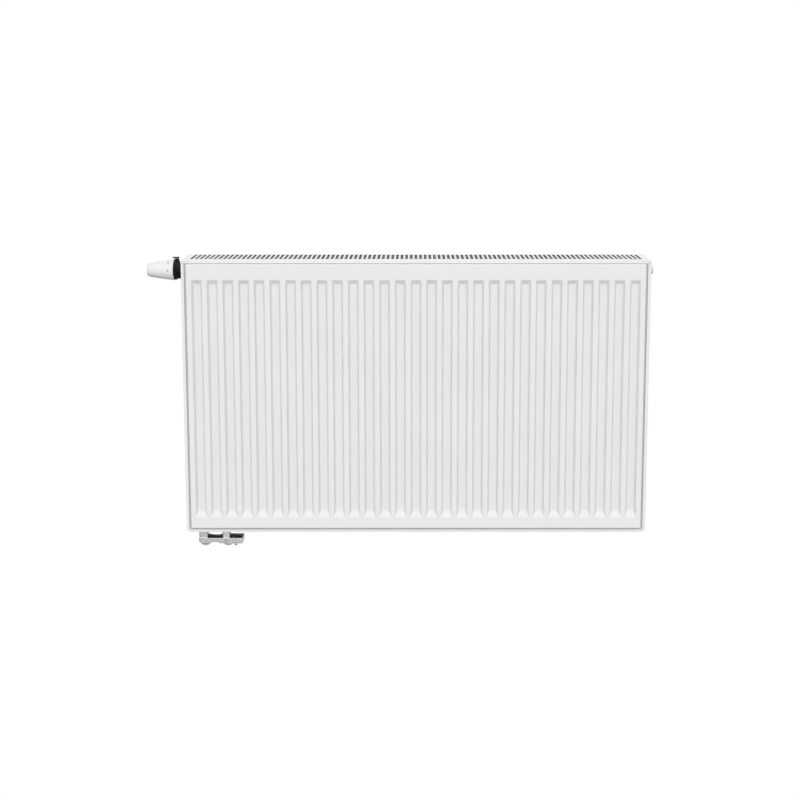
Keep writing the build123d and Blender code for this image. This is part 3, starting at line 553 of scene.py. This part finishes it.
def corner_point(start, nx, nz, outward, depth):
    """A point of the panel's edge, square at the field's corners with a small radius."""
    x, _, z = start
    if nz > 0 and depth < TOP_BEND_DEPTH:
        outward = TOP_BEND + (outward - TOP_BEND) * (1.0 + TOP_SPREAD * nz)
    sharp = (abs(nx) ** CORNER_POWER + abs(nz) ** CORNER_POWER) ** (1 / CORNER_POWER)
    reach = (GRID_INSET + outward) / sharp
    return (x + nx * reach, depth, z + nz * reach)


def rim_point(start, nx, nz, outward, depth):
    """A point near the flange's outer edge, rounded at the bottom corners and tighter at the top."""
    x, _, z = start
    radius = FLANGE_CORNER if nz < 0 else FLANGE_TOP_CORNER
    side = FIELD_HALF + FLANGE_SIDE - radius
    top = FIELD_TOP + FLANGE_TOP - radius
    bottom = FIELD_BOTTOM - FLANGE_BOTTOM + radius
    x = max(-side, min(side, x)) if nx == 0 else math.copysign(side, x)
    if nz == 0:
        z = max(bottom, min(top, z))
    else:
        z = top if nz > 0 else bottom
    reach = radius + outward
    return (x + nx * reach, depth, z + nz * reach)


def panel_grid():
    """The raised field's vertices (x, depth, z) and faces, with the grid's numbers of columns and rows."""
    columns = panel_columns()
    rows = panel_rows()
    side = FIELD_HALF - GRID_INSET
    verts = []
    for z in rows:
        line = [-side] + [float(column_x(column, z)) for column in columns] + [side]
        verts += [(x, float(field_depth(x, z)), z) for x in line]
    wide = len(columns) + 2
    faces = []
    for row in range(len(rows) - 1):
        for column in range(wide - 1):
            a = row * wide + column
            faces.append((a, a + 1, a + wide + 1, a + wide))
    return verts, faces, wide, len(rows)


def grid_border(wide, high):
    """The grid's outer vertices in order round the field, each as (vertex, outward x, outward z)."""
    border = [(column, 0, 1) for column in range(wide)]
    border += [(row * wide + wide - 1, 1, 0) for row in range(high)]
    border += [((high - 1) * wide + column, 0, -1) for column in reversed(range(wide))]
    border += [(row * wide, -1, 0) for row in reversed(range(high))]
    return border


def edge_stations(border):
    """The border with its four corners fanned out, so that the edge can turn there."""
    stations = []
    for i, (vertex, ox, oz) in enumerate(border):
        stations.append((vertex, ox, oz))
        following, next_x, next_z = border[(i + 1) % len(border)]
        if following != vertex:
            continue
        for k in range(1, CORNER_STEPS):
            angle = math.pi / 2 * k / CORNER_STEPS
            nx = ox * math.cos(angle) + next_x * math.sin(angle)
            nz = oz * math.cos(angle) + next_z * math.sin(angle)
            stations.append((vertex, nx, nz))
    return stations


def add_edge(verts, faces, stations):
    """Adds the panel's edge ring by ring, from the field out to the flange's hem."""
    rings = [[corner_point(verts[v], nx, nz, o, d) for v, nx, nz in stations] for o, d in EDGE]
    rings += [[rim_point(verts[v], nx, nz, o, d) for v, nx, nz in stations] for o, d in RIM]
    previous = [vertex for vertex, _, _ in stations]
    count = len(stations)
    for points in rings:
        ring = [len(verts) + k for k in range(count)]
        verts += points
        for k in range(count):
            nxt = (k + 1) % count
            quad = [previous[k], previous[nxt], ring[nxt], ring[k]]
            faces.append(tuple(quad[1:] if quad[0] == quad[1] else quad))
        previous = ring


def face_front(mesh):
    """Welds double vertices and turns the faces so that the raised field looks to the front."""
    bm = bmesh.new()
    bm.from_mesh(mesh)
    bmesh.ops.remove_doubles(bm, verts=bm.verts, dist=WELD / 10)
    bmesh.ops.recalc_face_normals(bm, faces=bm.faces)
    bm.faces.ensure_lookup_table()
    if bm.faces[0].normal.y > 0:
        bmesh.ops.reverse_faces(bm, faces=bm.faces)
    bm.to_mesh(mesh)
    bm.free()


def panel_piece(name):
    """The pressed sheet with its raised face at depth 0, as a closed thin shell."""
    verts, faces, wide, high = panel_grid()
    add_edge(verts, faces, edge_stations(grid_border(wide, high)))
    points = [(x * MM, (FRONT_Y + depth) * MM, z * MM) for x, depth, z in verts]
    piece = add_mesh(name, points, faces)
    face_front(piece.data)
    shell = piece.modifiers.new("sheet", "SOLIDIFY")
    shell.thickness = SHELL * MM
    shell.offset = -1.0
    apply_modifiers(piece)
    return piece


def painted_shade_at(x, depth, z):
    """How much shade is painted into the coat: in the groove round the raised field, and faintly in the
    recesses.
    """
    x = abs(x)
    if x < FIELD_HALF - FIELD_BEND and MOUTH_BOTTOM - RECESS_MARGIN < z < MOUTH_TOP + RECESS_MARGIN:
        return RECESS_PAINTED_SHADE * float(np.clip(depth / RAISE, 0, 1))
    if x >= FIELD_HALF + SEAM_REACH or z <= FIELD_BOTTOM - SEAM_REACH:
        return 0.0
    shade = float(np.clip((depth - SEAM_START) / SEAM_FADE, 0, 1))
    return shade * (TOP_SEAM_PAINTED_SHADE if z > FIELD_TOP - 1.0 else 1.0)


def paint_seam_shade(piece):
    """Writes the painted shade of each vertex into the attribute that the white coat reads."""
    mark = piece.data.attributes.new("painted_seam_shade", "FLOAT", "POINT")
    for vertex, value in zip(piece.data.vertices, mark.data):
        x, y, z = vertex.co / MM
        value.value = painted_shade_at(x, y - FRONT_Y, z)


front_panel = panel_piece("front_panel_shape")
# Painted shade in the groove and recesses, which the rear panel's copy keeps too
paint_seam_shade(front_panel)
smooth(front_panel, PANEL_ANGLE)
rear_panel = bpy.data.objects.new("rear_panel_shape", front_panel.data.copy())
bpy.context.scene.collection.objects.link(rear_panel)
for vertex in rear_panel.data.vertices:
    vertex.co = (-vertex.co.x, 2 * MID_Y * MM - vertex.co.y, vertex.co.z)
stand_for(front_panel, "front_panel_outer")
stand_for(rear_panel, "rear_panel_outer")


# ---------------------------------------------------------------- thermostatic head

head_low, head_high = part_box("handgrip")
AXIS_Y = (head_low.y + head_high.y) / 2
AXIS_Z = (head_low.z + head_high.z) / 2
TIP_X = head_low.x / MM
GRIP_X = head_high.x / MM
AXIS = (AXIS_Y, AXIS_Z)
PIN_X = -533.1
PIN_ANGLES = (2.0, 50.0)
PIN_SEGMENTS = 24
# Height above the head's axis and radius, up the pin and over its domed head
PIN_PROFILE = ((19.6, 1.9), (21.62, 1.9), (21.82, 1.7), (21.87, 1.2))


def grip_piece():
    """White grip: a tapering cup with a blunt tip and a rolled edge at its base.
    Each point is (x, radius, rounding), along the outside and back along the inside."""
    outline = [
        (TIP_X, 0, 0),
        (TIP_X, 8.0, 0),
        (TIP_X + 0.15, 13.2, 3.4),
        (TIP_X + 4.0, 14.9, 3.0),
        (TIP_X + 24.0, 18.5, 60.0),
        (GRIP_X - 0.6, 23.0, 0.4),
        (GRIP_X, 22.4, 0.3),
        (GRIP_X, 20.6, 0.2),
        (GRIP_X - 3.0, 20.2, 0),
        (TIP_X + 6.0, 12.8, 0),
        (TIP_X + 2.6, 10.8, 0),
        (TIP_X + 2.6, 0, 0),
    ]
    profile = [(p.x, p.y) for p in fillet_profile(outline, steps=6)]
    return turned("handgrip_shape", profile, AXIS, segments=128)


def pin_rings(angle):
    """Rings of one limit pin, from inside the grip's wall to its domed head; angle is above the front."""
    turn = math.radians(angle)
    along = Vector((1, 0, 0))
    out = Vector((0, -math.cos(turn), math.sin(turn)))
    across = Vector((0, math.sin(turn), math.cos(turn)))
    centre = Vector((PIN_X, AXIS_Y / MM, AXIS_Z / MM))
    rings = []
    for height, radius in PIN_PROFILE:
        for k in range(PIN_SEGMENTS):
            a = 2 * math.pi * k / PIN_SEGMENTS
            side = along * math.cos(a) + across * math.sin(a)
            rings.append(tuple((centre + out * height + side * radius) * MM))
    return rings


def limit_pin_piece():
    """The heads of the two pins in the grip's wall, domed and just proud of its surface."""
    verts = []
    faces = []
    last = len(PIN_PROFILE) - 1
    for angle in PIN_ANGLES:
        first = len(verts)
        verts += pin_rings(angle)
        for ring in range(last):
            for k in range(PIN_SEGMENTS):
                a = first + ring * PIN_SEGMENTS + k
                b = first + ring * PIN_SEGMENTS + (k + 1) % PIN_SEGMENTS
                faces.append((a, b, b + PIN_SEGMENTS, a + PIN_SEGMENTS))
        faces.append(tuple(first + k for k in reversed(range(PIN_SEGMENTS))))
        faces.append(tuple(first + last * PIN_SEGMENTS + k for k in range(PIN_SEGMENTS)))
    return add_mesh("limit_pins_shape", verts, faces)


grip = grip_piece()
smooth(grip, TURNED_ANGLE)
stand_for(grip, "handgrip")
pins = limit_pin_piece()
smooth(pins, TURNED_ANGLE)
stand_for(pins, "limit_pins")


# ---------------------------------------------------------------- edges of the other visible pieces

# How far each piece's edges are rounded, in millimetres
EDGE_RADII = {
    "top_grille": 0.22,
    "side_cover_left": 0.25,
    "side_cover_right": 0.25,
    "vent_spout": 0.4,
    "vent_plug": 0.4,
    "bleed_screw": 0.25,
    "blind_plug_left": 0.5,
    "blind_plug_right": 0.5,
    "head_collar": 0.3,
    "lock_clip": 0.4,
    "union_nut_return": 0.5,
    "union_nut_supply": 0.5,
    "wall_rail_left": 0.4,
    "wall_rail_right": 0.4,
    "wall_latch_left": 0.4,
    "wall_latch_right": 0.4,
    "rail_support_left": 0.4,
    "rail_support_right": 0.4,
    "shutoff_spindle_return": 0.3,
    "shutoff_spindle_supply": 0.3,
    "drain_screw": 0.25,
    # block_cover is a black plate standing in for the shade and dark reflection on the H-block's top face
    "block_cover": 0.3,
}
for node_name, radius in EDGE_RADII.items():
    softened(node_name, radius * MM)
forged("hblock_body", voxel=0.45 * MM, rounds=5)


def return_spring():
    """The valve's return spring, which in the real valve shortens towards its guide as the stem is pushed
    in: here a smooth-shaded copy with a mesh of its own, not moved by this script.
    """
    piece = shape_of("valve_spring")
    smooth(piece, TURNED_ANGLE)
    stand_for(piece, "valve_spring")
    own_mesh(piece)


return_spring()


# ---------------------------------------------------------------- stage, light and camera

# Metres, and degrees that the camera looks down
FLOOR_SIZE = 20.0
FLOOR_DROP = 0.55
CAMERA_PITCH = 6.84


def stage_floor():
    """White floor well below the radiator. It shows to the camera only, so it throws no light back."""
    size = FLOOR_SIZE
    height = cad_box[0].z - FLOOR_DROP
    corners = [(-size, -size, height), (size, -size, height), (size, size, height), (-size, size, height)]
    floor = add_mesh("floor", corners, [(0, 1, 2, 3)])
    g = Graph("pale_floor")
    g.tree.nodes.remove(g.shader)
    glow = g.tree.nodes.new("ShaderNodeEmission")
    glow.inputs["Color"].default_value = WHITE
    glow.inputs["Strength"].default_value = 1.0
    g.link(glow.outputs["Emission"], g.output.inputs["Surface"])
    floor.data.materials.append(g.material)
    floor.visible_diffuse = False
    floor.visible_glossy = False
    floor.visible_shadow = False


class Sky:
    """The world's node tree: backgrounds whose strength depends on the direction, and switches."""

    def __init__(self, name):
        self.world = bpy.data.worlds.new(name)
        self.world.use_nodes = True
        self.tree = self.world.node_tree
        self.tree.nodes.clear()
        place = self.tree.nodes.new("ShaderNodeTexCoord")
        part = self.tree.nodes.new("ShaderNodeSeparateXYZ")
        self.tree.links.new(place.outputs["Generated"], part.inputs["Vector"])
        self.forward = part.outputs["Y"]
        self.up = part.outputs["Z"]
        self.path = self.tree.nodes.new("ShaderNodeLightPath")

    def math(self, operation, first, second, third=0.0):
        """A math node on numbers or sockets."""
        node = self.tree.nodes.new("ShaderNodeMath")
        node.operation = operation
        for socket, value in zip(node.inputs, (first, second, third)):
            if isinstance(value, float):
                socket.default_value = value
            else:
                self.tree.links.new(value, socket)
        return node.outputs["Value"]

    def plain(self):
        """An even white background of strength 1."""
        node = self.tree.nodes.new("ShaderNodeBackground")
        node.inputs["Color"].default_value = WHITE
        return node

    def dome(self, ambient, depth, rise, least):
        """White of strength ambient + depth * y^2 + rise * z, and never less than least."""
        square = self.math("MULTIPLY", self.forward, self.forward)
        level = self.math("MULTIPLY_ADD", square, depth, ambient)
        total = self.math("MULTIPLY_ADD", self.up, rise, level)
        node = self.plain()
        self.tree.links.new(self.math("MAXIMUM", total, least), node.inputs["Strength"])
        return node.outputs["Background"]

    def switch(self, ray, otherwise, chosen):
        """The chosen background for one kind of ray, and the other one for the rest."""
        node = self.tree.nodes.new("ShaderNodeMixShader")
        _, first, second = node.inputs
        self.tree.links.new(self.path.outputs[ray], node.inputs["Fac"])
        self.tree.links.new(otherwise, first)
        self.tree.links.new(chosen, second)
        return node.outputs["Shader"]


def stage_world():
    """Soft dome: bright in front and behind, dimmer to the sides and below; the camera sees plain white.
    Reflections see more even studio walls, so that bare metal does not go black at its sides."""
    sky = Sky("studio")
    light = sky.dome(ambient=0.01, depth=1.79, rise=0.62, least=0.02)
    walls = sky.dome(ambient=0.50, depth=0.45, rise=0.80, least=0.05)
    lit = sky.switch("Is Glossy Ray", light, walls)
    seen = sky.switch("Is Camera Ray", lit, sky.plain().outputs["Background"])
    output = sky.tree.nodes.new("ShaderNodeOutputWorld")
    sky.tree.links.new(seen, output.inputs["Surface"])
    bpy.context.scene.world = sky.world


def softbox(name, place, target, size, power):
    """A rectangular area light of size (width, height) at place, aimed at target."""
    light = bpy.data.lights.new(name, "AREA")
    light.shape = "RECTANGLE"
    light.size, light.size_y = size
    light.energy = power
    lamp = bpy.data.objects.new(name, light)
    lamp.location = place
    aim = Vector(target) - Vector(place)
    lamp.rotation_euler = aim.to_track_quat("-Z", "Y").to_euler()
    bpy.context.scene.collection.objects.link(lamp)


def stage_camera():
    """The camera stands above the radiator's middle, looks slightly down and is shifted to frame it."""
    lens = bpy.data.cameras.new("camera")
    lens.lens = 53.11
    lens.sensor_width = 36.0
    lens.shift_x = -0.0176
    lens.shift_y = -0.2
    camera = bpy.data.objects.new("camera", lens)
    camera.location = (-0.004, -2.610, 0.640)
    camera.rotation_euler = (math.radians(90.0 - CAMERA_PITCH), 0.0, 0.0)
    bpy.context.scene.collection.objects.link(camera)
    bpy.context.scene.camera = camera


stage_floor()
stage_world()
softbox("key_softbox", place=(0.0, -2.2, 2.6), target=(0.0, -0.1, 0.0), size=(2.4, 1.2), power=4.0)
stage_camera()
bpy.context.scene.view_settings.view_transform = "Standard"
